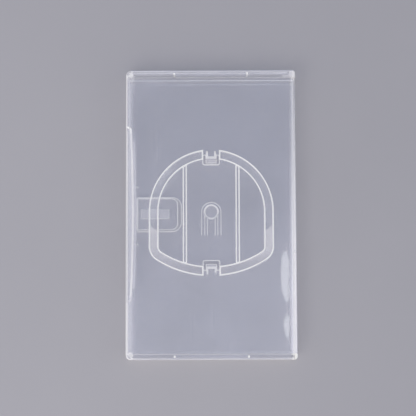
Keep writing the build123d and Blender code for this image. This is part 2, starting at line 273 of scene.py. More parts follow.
def haze_and_painted_light_group() -> Tree:
    """Builds the cloudiness of the plastic: a base share, broad flow clouds, fine grain, paler borders and
    painted light.

    Returns:
        The group, which puts out Haze, a share of covered surface, and Tone, from 0 to 1.
    """
    tree, start, end = new_group(
        "haze_and_painted_light",
        {"Haze": 0.04, "Clouds": 0.3, "Grain": 0.2, "Foot": 0, "Rim": 0, "Crease": 0, "Fade": 0, "Line": 0},
        ("Haze", "Tone"),
    )
    place = start.outputs["Vector"]
    sides = add_node(tree, "SeparateXYZ", Vector=place)
    low = ramp(tree, sides.outputs["Y"], CAD_BOX[1].y, CAD_BOX[0].y)
    rim = ramp(tree, sides.outputs["X"], CAD_BOX[0].x + RIM_SPREAD, CAD_BOX[0].x)
    crease = ramp(tree, sides.outputs["X"], CAD_BOX[1].x - CREASE_SPREAD, CAD_BOX[1].x - CREASE_FULL)
    cloud = add_node(tree, "TexNoise", Vector=place, Scale=26.0, Detail=3.0, Roughness=0.55)
    grain = add_node(tree, "TexNoise", Vector=place, Scale=2600.0, Detail=2.0, Roughness=0.6)
    cloud_swing = maths(tree, "SUBTRACT", cloud.outputs["Fac"], 0.5)
    grain_swing = maths(tree, "SUBTRACT", grain.outputs["Fac"], 0.5)
    swing = maths(tree, "MULTIPLY_ADD", cloud_swing, start.outputs["Clouds"], 1.0)
    swing = maths(tree, "MULTIPLY_ADD", grain_swing, start.outputs["Grain"], swing)
    # Painted light: the plastic grows hazier, and so lighter, towards the foot; a negative share makes it
    # clearer there
    foot = maths(tree, "MULTIPLY", maths(tree, "SUBTRACT", low, 0.5), start.outputs["Foot"])
    haze_and_highlight = maths(tree, "MULTIPLY", maths(tree, "ADD", swing, foot), start.outputs["Haze"])
    fade = maths(tree, "MULTIPLY", ramp(tree, sides.outputs["Y"], *BAR_FADE), start.outputs["Fade"])
    haze_and_highlight = maths(tree, "MULTIPLY", haze_and_highlight, maths(tree, "SUBTRACT", 1.0, fade))
    from_middle = maths(tree, "ABSOLUTE", sides.outputs["Y"], 0.0)
    beside = ramp(tree, from_middle, *RIM_FADE)
    rest = maths(tree, "MULTIPLY_ADD", low, 0.5, 0.3)
    strongest = maths(tree, "MAXIMUM", beside, rest)
    rim = maths(tree, "MULTIPLY", maths(tree, "MULTIPLY", rim, rim), strongest)
    haze_and_highlight = maths(tree, "MULTIPLY_ADD", rim, start.outputs["Rim"], haze_and_highlight)
    # The crease by the spine: partly whitening of the fold, partly a painted highlight, stronger towards
    # the foot
    crease_whitening_and_highlight = maths(tree, "MULTIPLY", crease, maths(tree, "MULTIPLY_ADD", low, 0.95, 0.05))
    haze_and_highlight = maths(tree, "MULTIPLY_ADD", crease_whitening_and_highlight, start.outputs["Crease"], haze_and_highlight)
    # Painted highlight: a pale line along the end walls, weaker towards the foot
    line = ramp(tree, maths(tree, "SUBTRACT", from_middle, CAD_BOX[1].y - END_WALL / 2), *END_HIGHLIGHT)
    line = maths(tree, "MULTIPLY", line, maths(tree, "MULTIPLY_ADD", low, -0.8, 1.0))
    haze_and_highlight = maths(tree, "MULTIPLY_ADD", line, start.outputs["Line"], haze_and_highlight)
    tree.links.new(haze_and_highlight, end.inputs["Haze"])
    tree.links.new(cloud.outputs["Fac"], end.inputs["Tone"])
    return tree


def handling_marks_group() -> Tree:
    """Builds the marks of handling: hair-fine scratches both ways and specks of dust.

    Returns:
        The group, which puts out Marks, from 0 to 1.
    """
    tree, start, end = new_group("handling_marks", {"Scratches": 0.5, "Dust": 0.5}, ("Marks",))
    place = start.outputs["Vector"]
    lines = []
    for turn, stretch in ((0.5, (900.0, 14.0, 14.0)), (-0.9, (16.0, 1100.0, 16.0))):
        drawn = add_node(tree, "Mapping", Vector=place, Rotation=(0.0, 0.0, turn), Scale=stretch)
        hair = add_node(tree, "TexNoise", Vector=drawn.outputs["Vector"], Scale=1.0, Detail=1.0)
        peak = maths(tree, "SUBTRACT", hair.outputs["Fac"], HAIR_FROM)
        lines.append(maths(tree, "MULTIPLY", maths(tree, "MAXIMUM", peak, 0.0), HAIR_GAIN))
    scratches = maths(tree, "MULTIPLY", maths(tree, "ADD", *lines), start.outputs["Scratches"])
    specks = add_node(tree, "TexVoronoi", Vector=place, Scale=210.0, Randomness=1.0)
    near = maths(tree, "SUBTRACT", SPECK_SIZE, specks.outputs["Distance"])
    dust = maths(tree, "MULTIPLY", maths(tree, "MAXIMUM", near, 0.0), SPECK_GAIN)
    dust = maths(tree, "MULTIPLY", dust, start.outputs["Dust"])
    tree.links.new(maths(tree, "ADD", scratches, dust, clamp=True), end.inputs["Marks"])
    return tree


def soft_ripple_group() -> Tree:
    """Builds the slow swell of a moulded or stretched surface.

    Returns:
        The group, which puts out Height, in metres.
    """
    tree, start, end = new_group("soft_ripple", {"Rise": 0.00002, "Pitch": 40.0, "Draw": 1.0}, ("Height",))
    spread = add_node(tree, "CombineXYZ", X=1.0, Y=start.outputs["Draw"], Z=1.0)
    drawn = add_node(tree, "VectorMath", operation="MULTIPLY")
    tree.links.new(start.outputs["Vector"], drawn.inputs[0])
    tree.links.new(spread.outputs[0], drawn.inputs[1])
    swell = add_node(
        tree, "TexNoise", Vector=drawn.outputs[0], Scale=start.outputs["Pitch"], Detail=1.5, Roughness=0.4
    )
    height = maths(tree, "MULTIPLY", swell.outputs["Fac"], start.outputs["Rise"])
    tree.links.new(height, end.inputs["Height"])
    return tree


@dataclass(frozen=True)
class SurfaceGroups:
    """The shader groups that the clear finishes share."""

    haze_and_highlight: Tree
    marks: Tree
    ripple: Tree

    @classmethod
    def build(cls) -> "SurfaceGroups":
        """Builds each group once."""
        return cls(haze_and_painted_light_group(), handling_marks_group(), soft_ripple_group())


# Finishes


@dataclass(frozen=True)
class ClearFinish:
    """Clear plastic that passes light on, covers a little by its cloudiness and shines at its surface;
    where it covers much, the cover is a painted highlight.
    """

    name: str
    haze_and_highlight: float
    clouds: float
    pale: Colour
    deep: Colour
    gloss: float
    grain: float = 0.3
    dull: float = 0.3
    scratches: float = 0.05
    dust: float = 0.2
    shine: float = 0.04
    # Painted light: how much hazier, and so lighter, the plastic grows towards the foot
    foot: float = 0.0
    rim: float = 0.0
    # The crease by the spine: partly whitening, partly a painted highlight that grows towards the foot
    crease: float = 0.0
    fade: float = 0.0
    # Painted highlight along the end walls
    line: float = 0.0
    back: float = 1.0
    passes: float = 0.96
    ripple_rise: float = 0.0
    ripple_pitch: float = 40.0
    ripple_draw: float = 1.0

    def material(self, groups: SurfaceGroups) -> Material:
        """Makes the material.

        Args:
            groups: the shared shader groups.

        Returns:
            A material with its cloudiness and painted highlights in the Principled node's Alpha, a gloss
            over it and a light shadow.
        """
        made = bpy.data.materials.new(self.name)
        made.use_nodes = True
        made.diffuse_color = (*self.pale, max(self.haze_and_highlight, 0.1))
        tree = made.node_tree
        place = add_node(tree, "TexCoord").outputs["Object"]
        self.cover(tree, place, groups)
        self.lighten_shadow(tree, self.polish(tree, place, groups))
        return made

    def cover(self, tree: Tree, place: Socket, groups: SurfaceGroups) -> None:
        """Sets the colour, the cloudiness with its painted highlights, and the roughness of the plastic.

        Args:
            tree: the material's nodes.
            place: the Object coordinates.
            groups: the shared shader groups.
        """
        body = tree.nodes["Principled BSDF"]
        haze_and_highlight = add_node(
            tree, "Group", node_tree=groups.haze_and_highlight, Vector=place, Haze=self.haze_and_highlight, Clouds=self.clouds,
            Grain=self.grain, Foot=self.foot, Rim=self.rim, Crease=self.crease, Fade=self.fade,
            Line=self.line,
        )
        marks = add_node(
            tree, "Group", node_tree=groups.marks, Vector=place, Scratches=self.scratches, Dust=self.dust
        )
        colour = colour_between(tree, haze_and_highlight.outputs["Tone"], self.deep, self.pale)
        tree.links.new(colour, body.inputs["Base Color"])
        marked = marks.outputs["Marks"]
        covered = maths(tree, "MULTIPLY_ADD", marked, MARK_COVER, haze_and_highlight.outputs["Haze"], clamp=True)
        behind = add_node(tree, "NewGeometry").outputs["Backfacing"]
        kept = maths(tree, "MULTIPLY_ADD", behind, self.back - 1.0, 1.0)
        tree.links.new(maths(tree, "MULTIPLY", covered, kept), body.inputs["Alpha"])
        rough = maths(tree, "MULTIPLY_ADD", marked, MARK_DULL, self.dull)
        tree.links.new(rough, body.inputs["Roughness"])
        body.inputs["IOR"].default_value = PLASTIC_IOR

    def polish(self, tree: Tree, place: Socket, groups: SurfaceGroups) -> Socket:
        """Lays the gloss over the plastic, stronger towards a grazing view.

        Args:
            tree: the material's nodes.
            place: the Object coordinates.
            groups: the shared shader groups.

        Returns:
            The glossy plastic's shader socket.
        """
        body = tree.nodes["Principled BSDF"]
        mirror = add_node(tree, "BsdfAnisotropic", Color=(1.0, 1.0, 1.0, 1.0), Roughness=self.gloss)
        facing = add_node(tree, "LayerWeight", Blend=0.5)
        if self.ripple_rise:
            ripple = add_node(
                tree, "Group", node_tree=groups.ripple, Vector=place, Rise=self.ripple_rise,
                Pitch=self.ripple_pitch, Draw=self.ripple_draw,
            )
            bump = add_node(tree, "Bump", Distance=1.0, Height=ripple.outputs["Height"])
            for shader in (body, mirror, facing):
                tree.links.new(bump.outputs["Normal"], shader.inputs["Normal"])
        slant = maths(tree, "POWER", facing.outputs["Facing"], GRAZING_POWER)
        share = maths(tree, "MULTIPLY_ADD", slant, GRAZING_SHINE - self.shine, self.shine)
        glossed = add_node(tree, "MixShader")
        tree.links.new(share, glossed.inputs[0])
        tree.links.new(body.outputs[0], glossed.inputs[1])
        tree.links.new(mirror.outputs[0], glossed.inputs[2])
        return glossed.outputs[0]

    def lighten_shadow(self, tree: Tree, polished: Socket) -> None:
        """Lets most of the light through where the plastic casts a shadow.

        Args:
            tree: the material's nodes.
            polished: the glossy plastic's shader socket.
        """
        clear = add_node(tree, "BsdfTransparent", Color=(self.passes, self.passes, self.passes, 1.0))
        shaded = add_node(tree, "MixShader")
        tree.links.new(add_node(tree, "LightPath").outputs["Is Shadow Ray"], shaded.inputs[0])
        tree.links.new(polished, shaded.inputs[1])
        tree.links.new(clear.outputs[0], shaded.inputs[2])
        tree.links.new(shaded.outputs[0], tree.nodes["Material Output"].inputs["Surface"])


# Painted light: its foot share makes the walls lighter towards the foot
CLEAR_WALL = ClearFinish(
    name="clear_wall", haze_and_highlight=0.041, clouds=1.5, grain=0.25, pale=(0.82, 0.83, 0.95), deep=(0.74, 0.75, 0.88),
    gloss=0.07, dull=0.32, scratches=0.1, dust=0.4, foot=0.35, passes=0.95,
)
# Painted highlight: the strips along sharp edges, pale as if they caught the light
SOFT_EDGE = ClearFinish(
    name="soft_edge", haze_and_highlight=0.66, clouds=0.3, pale=(1.0, 0.98, 0.95), deep=(0.95, 0.93, 0.91),
    gloss=0.12, passes=0.85,
)
# Painted highlight: the narrow ends of the walls, near white as if lit by light gathered in the plastic;
# nearly clear from behind
DEEP_WALL = ClearFinish(
    name="deep_wall", haze_and_highlight=0.94, clouds=0.12, grain=0.2, pale=(1.0, 0.98, 0.93), deep=(0.97, 0.95, 0.91),
    gloss=0.10, back=0.1, passes=0.8,
)
# Painted highlight on the spine's edges, growing much stronger towards the foot
SPINE_WALL = ClearFinish(
    name="spine_wall", haze_and_highlight=0.70, clouds=0.2, grain=0.2, pale=(1.0, 0.98, 0.92), deep=(0.96, 0.94, 0.90),
    gloss=0.10, foot=1.5, back=0.5, passes=0.85,
)
# The pale webs; also a weaker painted highlight on inner wall ends, on the opening edge's walls and rims,
# and at some corners
PALE_WEB = ClearFinish(
    name="pale_web", haze_and_highlight=0.36, clouds=0.5, pale=(0.94, 0.92, 0.93), deep=(0.86, 0.84, 0.87),
    gloss=0.14, dull=0.35, scratches=0.3, back=0.6, passes=0.9,
)
BAR_WEB = ClearFinish(
    name="bar_web", haze_and_highlight=0.33, clouds=0.7, grain=0.5, pale=(0.94, 0.92, 0.92), deep=(0.86, 0.84, 0.86),
    gloss=0.14, dull=0.35, scratches=0.3, fade=0.75, passes=0.9,
)
FAINT_WEB = ClearFinish(
    name="faint_web", haze_and_highlight=0.10, clouds=0.5, pale=(0.92, 0.93, 0.98), deep=(0.84, 0.85, 0.93),
    gloss=0.12, dull=0.35, scratches=0.2, passes=0.93,
)
# Painted highlight: the end walls, with a pale line that is strongest at the head
END_WALLS = ClearFinish(
    name="end_wall", haze_and_highlight=0.10, clouds=0.4, pale=(0.97, 0.96, 0.97), deep=(0.90, 0.89, 0.92),
    gloss=0.10, line=0.8, back=0.3, passes=0.88,
)
FINISHES = (CLEAR_WALL, SOFT_EDGE, DEEP_WALL, PALE_WEB, BAR_WEB, FAINT_WEB, END_WALLS, SPINE_WALL)
# Its crease by the spine is partly whitening of the fold and partly a painted highlight
SLEEVE_FILM = ClearFinish(
    name="sleeve_film", haze_and_highlight=0.02, clouds=0.4, grain=0.2, pale=(0.93, 0.92, 0.96), deep=(0.87, 0.86, 0.92),
    gloss=0.05, scratches=0.15, dust=0.6, rim=0.15, crease=0.36, passes=0.97,
    ripple_rise=0.00012, ripple_pitch=30.0, ripple_draw=0.35,
)
SPINE_FILM = replace(SLEEVE_FILM, name="spine_film", crease=0.06)
SLEEVE_WELD = ClearFinish(
    name="sleeve_weld", haze_and_highlight=0.06, clouds=1.6, pale=(0.95, 0.94, 0.96), deep=(0.89, 0.88, 0.92),
    gloss=0.2, dull=0.4, scratches=0.3, dust=0.3, rim=0.14, crease=0.3, passes=0.95,
    ripple_rise=0.00003, ripple_pitch=160.0, ripple_draw=0.15,
)
# Painted highlight on the film's cut border, fading towards the foot
SLEEVE_BORDER = ClearFinish(
    name="sleeve_border", haze_and_highlight=0.25, clouds=0.4, pale=(0.95, 0.95, 0.98),
    deep=(0.89, 0.89, 0.94), gloss=0.2, dull=0.4, scratches=0.1, dust=0.1, foot=-1.2, back=0.3, passes=0.95,
)


@dataclass(frozen=True)
class FloorFinish:
    """Pale grey paper with a faint mottle, and painted light that makes it lighter towards the left."""

    name: str = "grey_paper"
    light: Colour = (0.446, 0.433, 0.448)
    shade: Colour = (0.384, 0.374, 0.392)
    painted_light_half: float = 0.16

    def material(self) -> Material:
        """Makes the material.

        Returns:
            A matt material whose colour and roughness vary a little, its colour also lighter towards the
            left as painted light.
        """
        made = bpy.data.materials.new(self.name)
        made.use_nodes = True
        tree = made.node_tree
        body = tree.nodes["Principled BSDF"]
        place = add_node(tree, "TexCoord").outputs["Object"]
        mottle = add_node(tree, "TexNoise", Vector=place, Scale=7.0, Detail=4.0, Roughness=0.6)
        tooth = add_node(tree, "TexNoise", Vector=place, Scale=900.0, Detail=2.0)
        sides = add_node(tree, "SeparateXYZ", Vector=place)
        # Painted light: the paper is lighter towards the left
        painted_light_fall = maths(tree, "MULTIPLY", ramp(tree, sides.outputs["X"], self.painted_light_half, -self.painted_light_half), 0.4)
        share = maths(tree, "MULTIPLY_ADD", mottle.outputs["Fac"], 0.6, painted_light_fall)
        tree.links.new(colour_between(tree, share, self.shade, self.light), body.inputs["Base Color"])
        rough = maths(tree, "MULTIPLY_ADD", tooth.outputs["Fac"], 0.2, 0.65)
        tree.links.new(rough, body.inputs["Roughness"])
        bump = add_node(tree, "Bump", Strength=0.1, Distance=0.0001, Height=tooth.outputs["Fac"])
        tree.links.new(bump.outputs["Normal"], body.inputs["Normal"])
        return made


# Moulded pieces


def finished_object(shape: Shape, name: str, looks: list[Material], sharp_from: float) -> Object:
    """Turns a shape into an object of the scene, smooth but for its sharp edges.

    Args:
        shape: the shape, which is used up.
        name: the object's name.
        looks: its materials, in order.
        sharp_from: the angle between two faces from which their edge is sharp.

    Returns:
        The object.
    """
    mesh = bpy.data.meshes.new(name)
    shape.to_mesh(mesh)
    shape.free()
    mesh.shade_smooth()
    mesh.set_sharp_from_angle(angle=sharp_from)
    for look in looks:
        mesh.materials.append(look)
    made = bpy.data.objects.new(name, mesh)
    bpy.context.scene.collection.objects.link(made)
    return made


def cut_faces(shape: Shape, faces: list[Face], place: Vector, way: Vector) -> list[Face]:
    """Cuts some faces by a plane.

    Args:
        shape: the mesh.
        faces: the faces to cut.
        place: a point of the plane.
        way: the plane's normal.

    Returns:
        The faces that they are cut into.
    """
    verts = dict.fromkeys(v for f in faces for v in f.verts)
    edges = dict.fromkeys(e for f in faces for e in f.edges)
    result = bmesh.ops.bisect_plane(
        shape, geom=[*verts, *edges, *faces], dist=1e-8, plane_co=place, plane_no=way
    )
    return list(dict.fromkeys(g for g in result["geom"] if isinstance(g, Face)))


@dataclass(frozen=True)
class Cut:
    """A straight line along which a flat face is cut, seen from above."""

    start: Vector
    end: Vector
    inward: Vector
    level: Level | None

    def distance(self, place: Vector) -> float:
        """Measures how far a place lies from the line, seen from above.

        Args:
            place: the place.

        Returns:
            The distance to the nearest point of the line.
        """
        run = (self.end - self.start).xy
        share = max(0.0, min(1.0, (place - self.start).xy.dot(run) / run.length_squared))
        return ((place - self.start).xy - run * share).length


@dataclass(frozen=True)
class Zone:
    """A box, in millimetres, round the middles of some faces that have a look of their own."""

    look: Look
    low: tuple[float, float, float]
    high: tuple[float, float, float]
    instead_of: tuple[Look, ...] = (Look.CLEAR,)

    def holds(self, place: Vector, look: Look) -> bool:
        """True for a place inside the box that has one of the looks it replaces."""
        inside = all(a < c / MM < b for a, c, b in zip(self.low, place, self.high))
        return inside and look in self.instead_of


# The looks of a wall's end and edge, and those of a tongue
WALL_LOOKS = (Look.DEEP, Look.EDGE)
TONGUE_LOOKS = (Look.WEB, Look.EDGE, Look.DEEP)

WALL_ZONES = (
    # The end walls, away from their corners
    Zone(Look.END, (-47.5, 87.1, -1), (47.5, 89, 15), WALL_LOOKS),
    Zone(Look.END, (-47.5, -89, -1), (47.5, -87.1, 15), WALL_LOOKS),
    # The walls of the opening edge, and the foot's corner by the spine
    Zone(Look.WEB, (-53, 54, -1), (-47, 83.5, 15), WALL_LOOKS),
    Zone(Look.EDGE, (-53, 83.4, -1), (-47, 89, 15), (Look.DEEP,)),
    Zone(Look.EDGE, (-53, -89, -1), (-47, -56, 15), (Look.DEEP,)),
    Zone(Look.EDGE, (47, -89, -1), (53, -83.4, 15), (Look.DEEP,)),
    # The finger recess
    Zone(Look.WEB, (-51.5, -56.1, -1), (-47, -50, 15), WALL_LOOKS),
    Zone(Look.DEEP, (-53, -53, -1), (-50.8, 53, 15), (Look.EDGE,)),
    Zone(Look.EDGE, (-50, -50, 13), (-47, 50, 14.2), (Look.DEEP,)),
    # The edges by the spine
    Zone(Look.SPINE, (48.4, -89, -1), (53, 83.5, 15), (Look.EDGE,)),
    # The parting line at the foot
    Zone(Look.FAINT, (-47.5, -89, 6), (47.5, -87.1, 8), (Look.WEB,)),
)

TRAY_ZONES = (
    *WALL_ZONES,
    # The hub's ring and the snap clips, the catches of their hooks, and the hub's web
    Zone(Look.EDGE, (-4.7, -40, 12.5), (4.7, 40, 14.1), (Look.DEEP,)),
    Zone(Look.WEB, (-3.6, -36, 6), (3.6, 36, 7)),
    Zone(Look.FAINT, (-5, -4, 10.8), (5, 7, 11.8)),
    # The webs of the bars, below and above the finger scoops
    Zone(Look.BAR, (-40, -39, 6.6), (40, -4, 8.3)),
    Zone(Look.FAINT, (-40, -6, 7), (40, 42, 10.1)),
    # The rim by the finger recess
    Zone(Look.WEB, (-51.6, -53, 13.7), (-50.8, 53, 14.2)),
    # A corner at the head and a corner post at the foot
    Zone(Look.WEB, (46.5, 84.5, 13.7), (52.5, 89, 14.2)),
    Zone(Look.WEB, (-51.5, -87.8, 13.7), (-47.8, -83.8, 14.2)),
    # The lip at the head, and the lip's edge at the foot
    Zone(Look.FAINT, (-50, 85.5, 13.9), (50, 88, 14.1)),
    Zone(Look.WEB, (-47.5, -86, 13.7), (47.5, -84.6, 14.2), (Look.EDGE,)),
)

COVER_ZONES = (
    *WALL_ZONES,
    # The end tongues, and the wall top at the head
    Zone(Look.CLEAR, (-23, 85, 4.5), (23, 87.2, 10), TONGUE_LOOKS),
    Zone(Look.CLEAR, (-23, -87.2, 4.5), (23, -85, 10), TONGUE_LOOKS),
    Zone(Look.END, (-47.5, 87.1, 6), (47.5, 89, 7.5), (Look.WEB,)),
    # The booklet clip's tab, riser and pad
    Zone(Look.FAINT, (-44.7, -10.5, 3.9), (-24.5, 12.5, 4.1)),
    Zone(Look.EDGE, (-46, -12, 3.9), (-44.8, 13, 4.1), (Look.CLEAR, Look.WEB)),
    Zone(Look.WEB, (-44, -3, 4.3), (-24, 4.6, 4.9)),
)

SPINE_ZONES = (
    # The spine's corner at the head, and its other edges
    Zone(Look.EDGE, (47, 83.5, -1), (53, 89, 15), (Look.SPINE, Look.EDGE)),
    Zone(Look.SPINE, (47, -89, -1), (53, 83.6, 15), (Look.EDGE,)),
)


@dataclass
class MouldedPart:
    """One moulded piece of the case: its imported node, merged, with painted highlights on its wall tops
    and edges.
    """

    piece: str
    node: str
    body: str
    side: Side
    cell: float = 6.0 * MM
    edge_width: float = 0.55 * MM
    edge_angle: float = math.radians(50.0)
    edge_drop: float = 0.6 * MM
    skin_depth: float = 0.9 * MM
    deep_from: float = 2.2 * MM
    narrow_at: tuple[tuple[float, float], ...] = ((0.5, 2.8 * MM), (0.8, 1.75 * MM))
    reach: float = 12.0 * MM
    zones: tuple[Zone, ...] = ()
    tab_top: float | None = None
    lip: tuple[float, float] | None = None

    def build(self, looks: list[Material]) -> Object:
        """Makes the piece and puts it in place of its node.

        Args:
            looks: the materials, in the order of Look.

        Returns:
            The finished object.
        """
        shape = bmesh.new()
        shape.from_mesh(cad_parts[self.node].data)
        bmesh.ops.remove_doubles(shape, verts=shape.verts, dist=SAME_POINT)
        solid = BVHTree.FromBMesh(shape)
        feet, rims = self.wall_feet(shape), self.rims(shape)
        cells = self.cut_cells(shape)
        skins = sorted({key[0] for key in cells if self.is_skin(key[0]) or self.is_tab(key[0])})
        for foot in feet:
            for level in skins:
                self.cut(shape, cells, foot, level, 0.0)
        for rim in rims:
            self.cut(shape, cells, rim, rim.level, self.edge_width)
        self.sort_faces(shape, solid, rims)
        made = finished_object(shape, self.piece, looks, MOULDED_SHARP_FROM)
        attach(made, self.body)
        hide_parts(self.node)
        return made

    @staticmethod
    def is_flat(face: Face) -> bool:
        """True for a face that lies flat or nearly so."""
        return abs(face.normal.z) > FLAT_LEAN

    @staticmethod
    def level_of(face: Face) -> Level:
        """A face's plane: its slopes in thousandths and its offset in hundredths of a millimetre."""
        offset = face.normal.dot(face.verts[0].co) / MM
        return round(face.normal.x * 1000), round(face.normal.y * 1000), round(offset * 100)

    def is_skin(self, level: Level) -> bool:
        """Tells whether a level belongs to the outer skin.

        Args:
            level: the plane of a flat face.

        Returns:
            True where it lies near the outside of the case.
        """
        if self.side is Side.SPINE or level[:2] != (0, 0):
            return False
        outside = CAD_BOX[1].z if self.side is Side.BACK else -CAD_BOX[0].z
        return abs(level[2] * MM / 100 - outside) < self.skin_depth

    def is_tab(self, level: Level) -> bool:
        """True for the level of the tab's upper face."""
        return self.tab_top is not None and level == (0, 0, round(self.tab_top / MM * 100))

    def wall_feet(self, shape: Shape) -> list[Cut]:
        """Finds where walls stand on the panel.

        Args:
            shape: the merged mesh.

        Returns:
            A line for each straight piece of a wall's foot.
        """
        feet = []
        for edge in shape.edges:
            if len(edge.link_faces) == 2 and not edge.is_convex:
                lean = sorted(abs(f.normal.z) for f in edge.link_faces)
                start, end = (v.co.copy() for v in edge.verts)
                run = (end - start).xy
                if lean[0] < WALL_LEAN and lean[1] > FLAT_LEAN and run.length > SAME_POINT:
                    feet.append(Cut(start, end, Vector((run.y, -run.x, 0.0)).normalized(), None))
        return feet

    def rims(self, shape: Shape) -> list[Cut]:
        """Finds the sharp outer edges of flat faces.

        Args:
            shape: the merged mesh.

        Returns:
            A line for each edge, with the way into its flat face.
        """
        found = []
        for edge in shape.edges:
            sharp = edge.is_convex and edge.calc_face_angle(0.0) >= self.edge_angle
            if len(edge.link_faces) != 2 or not sharp:
                continue
            for face, beyond in zip(edge.link_faces, reversed(edge.link_faces)):
                start, end = (v.co.copy() for v in edge.verts)
                run = end - start
                heights = [v.co.z for v in beyond.verts]
                drops = max(heights) - min(heights) > self.least_drop(face, (start.y + end.y) / 2)
                if drops and self.is_flat(face) and run.xy.length > SAME_POINT:
                    inward = Vector((run.y, -run.x, 0.0)).normalized()
                    if inward.dot(face.calc_center_median() - start) < 0:
                        inward.negate()
                    found.append(Cut(start, end, inward, self.level_of(face)))
        return found

    def least_drop(self, face: Face, up: float) -> float:
        """Tells how far the wall at an edge has to drop for the edge to show.

        Args:
            face: the flat face beside the edge.
            up: the edge's place along the case.

        Returns:
            A distance, none at the lip.
        """
        if self.lip is not None and self.lip[0] < up < self.lip[1]:
            return 0.0
        return self.edge_drop if self.is_skin(self.level_of(face)) else self.edge_drop / 2

    def cut_cells(self, shape: Shape) -> Cells:
        """Cuts the flat faces into square cells, so that a later cut stays near its line.

        Args:
            shape: the merged mesh.

        Returns:
            The flat faces of each level and cell.
        """
        flat = [f for f in shape.faces if self.is_flat(f)]
        for axis, way in ((0, Vector((1, 0, 0))), (1, Vector((0, 1, 0)))):
            spans = [self.span_of(face, axis) for face in flat]
            flat = []
            for k in range(1, math.ceil((CAD_BOX[1][axis] - CAD_BOX[0][axis]) / self.cell) + 1):
                level = CAD_BOX[0][axis] + k * self.cell
                below, above = level - SAME_LEVEL, level + SAME_LEVEL
                crossed = [s[2] for s in spans if s[0] < below and s[1] > above]
                flat += [s[2] for s in spans if s[1] <= above]
                spans = [s for s in spans if s[0] >= below]
                if crossed:
                    for face in cut_faces(shape, crossed, way * level, way):
                        span = self.span_of(face, axis)
                        if span[1] <= above:
                            flat.append(face)
                        else:
                            spans.append(span)
            flat += [s[2] for s in spans]
        cells: Cells = {}
        for face in flat:
            key = (self.level_of(face), *self.cell_of(face.calc_center_median()))
            cells.setdefault(key, []).append(face)
        return cells

    @staticmethod
    def span_of(face: Face, axis: int) -> tuple[float, float, Face]:
        """The lowest and highest place of a face along an axis, with the face."""
        ends = [v.co[axis] for v in face.verts]
        return min(ends), max(ends), face

    def cell_of(self, place: Vector) -> tuple[int, int]:
        """The cell that a place lies in, seen from above."""
        low = CAD_BOX[0]
        return math.floor((place.x - low.x) / self.cell), math.floor((place.y - low.y) / self.cell)

    def cells_near(self, line: Cut, margin: float) -> list[tuple[int, int]]:
        """The cells near a line.

        Args:
            line: the line.
            margin: how far round it to look.

        Returns:
            The cells in the box round its two ends.
        """
        spread = Vector((margin, margin, 0.0))
        low = self.cell_of(Vector(map(min, line.start, line.end)) - spread)
        high = self.cell_of(Vector(map(max, line.start, line.end)) + spread)
        return [(i, j) for i in range(low[0], high[0] + 1) for j in range(low[1], high[1] + 1)]

    def cut(self, shape: Shape, cells: Cells, line: Cut, level: Level, offset: float) -> None:
        """Cuts the flat faces of one level along a line.

        Args:
            shape: the mesh.
            cells: its flat faces by level and cell, kept up to date.
            line: the line.
            level: the level of the faces to cut.
            offset: how far into the face the cut lies.
        """
        place = line.start + line.inward * offset
        for near in self.cells_near(line, offset):
            key = (level, *near)
            crossed, clear = [], []
            for face in cells.get(key, ()):
                offsets = [(v.co - place).dot(line.inward) for v in face.verts]
                crosses = min(offsets) < -SAME_POINT and max(offsets) > SAME_POINT
                (crossed if crosses and self.beside(face, line, offset) else clear).append(face)
            if crossed:
                cells[key] = clear + cut_faces(shape, crossed, place, line.inward)

    @staticmethod
    def beside(face: Face, line: Cut, margin: float) -> bool:
        """Tells whether a face lies beside a line and not only on its continuation.

        Args:
            face: a flat face.
            line: the line.
            margin: how far past the line's ends still counts.

        Returns:
            True where the face's span along the line meets the line.
        """
        run = (line.end - line.start).xy
        along = [(v.co - line.start).xy.dot(run) / run.length for v in face.verts]
        past = margin + SAME_POINT
        return max(along) > -past and min(along) < run.length + past

    def sort_faces(self, shape: Shape, solid: BVHTree, rims: list[Cut]) -> None:
        """Gives each face its look, by what lies behind it and how near an edge it is.

        Args:
            shape: the cut mesh.
            solid: the piece, for casting rays.
            rims: the sharp edges of its flat faces.
        """
        near_rims: dict[tuple, list[Cut]] = {}
        for rim in rims:
            for near in self.cells_near(rim, self.edge_width):
                near_rims.setdefault((rim.level, *near), []).append(rim)
        for face in shape.faces:
            middle = face.calc_center_median()
            key = (self.level_of(face), *self.cell_of(middle))
            at_rim = self.is_flat(face) and any(
                rim.distance(middle) < self.edge_width for rim in near_rims.get(key, ())
            )
            look = self.look_of(face, self.is_deep(face, solid), at_rim)
            if look is not Look.CLEAR or self.is_flat(face):
                look = next((zone.look for zone in self.zones if zone.holds(middle, look)), look)
            face.material_index = look

    def look_of(self, face: Face, deep: bool, at_rim: bool) -> Look:
        """Chooses the usual look of a face.

        Args:
            face: a face of the cut mesh.
            deep: whether it is the narrow end of a wall.
            at_rim: whether it lies along a sharp edge.

        Returns:
            The look.
        """
        # The narrow ends of walls and the strips along sharp edges take the looks with painted highlights
        if deep and self.side is Side.SPINE:
            return Look.SPINE
        if deep:
            outside = not self.is_flat(face) or self.is_skin(self.level_of(face))
            return Look.DEEP if outside else Look.WEB
        narrow = face.calc_area() / max(e.calc_length() for e in face.edges) < self.edge_width
        if at_rim or (abs(face.normal.z) > SLOPE_LEAN and not self.is_flat(face) and narrow):
            return Look.EDGE
        return Look.CLEAR

    def is_deep(self, face: Face, solid: BVHTree) -> bool:
        """Tells whether a face is the narrow end of a wall: a flat one at its middle, another one all over.

        Args:
            face: a face.
            solid: the piece, for casting rays.

        Returns:
            True where the plastic behind the face is deep and narrow.
        """
        if max(abs(c) for c in face.normal) < SQUARE_LEAN:
            return False
        middle = face.calc_center_median()
        places = [middle] if self.is_flat(face) else [v.co.lerp(middle, 0.1) for v in face.verts]
        return all(self.is_deep_at(face, place, solid) for place in places)

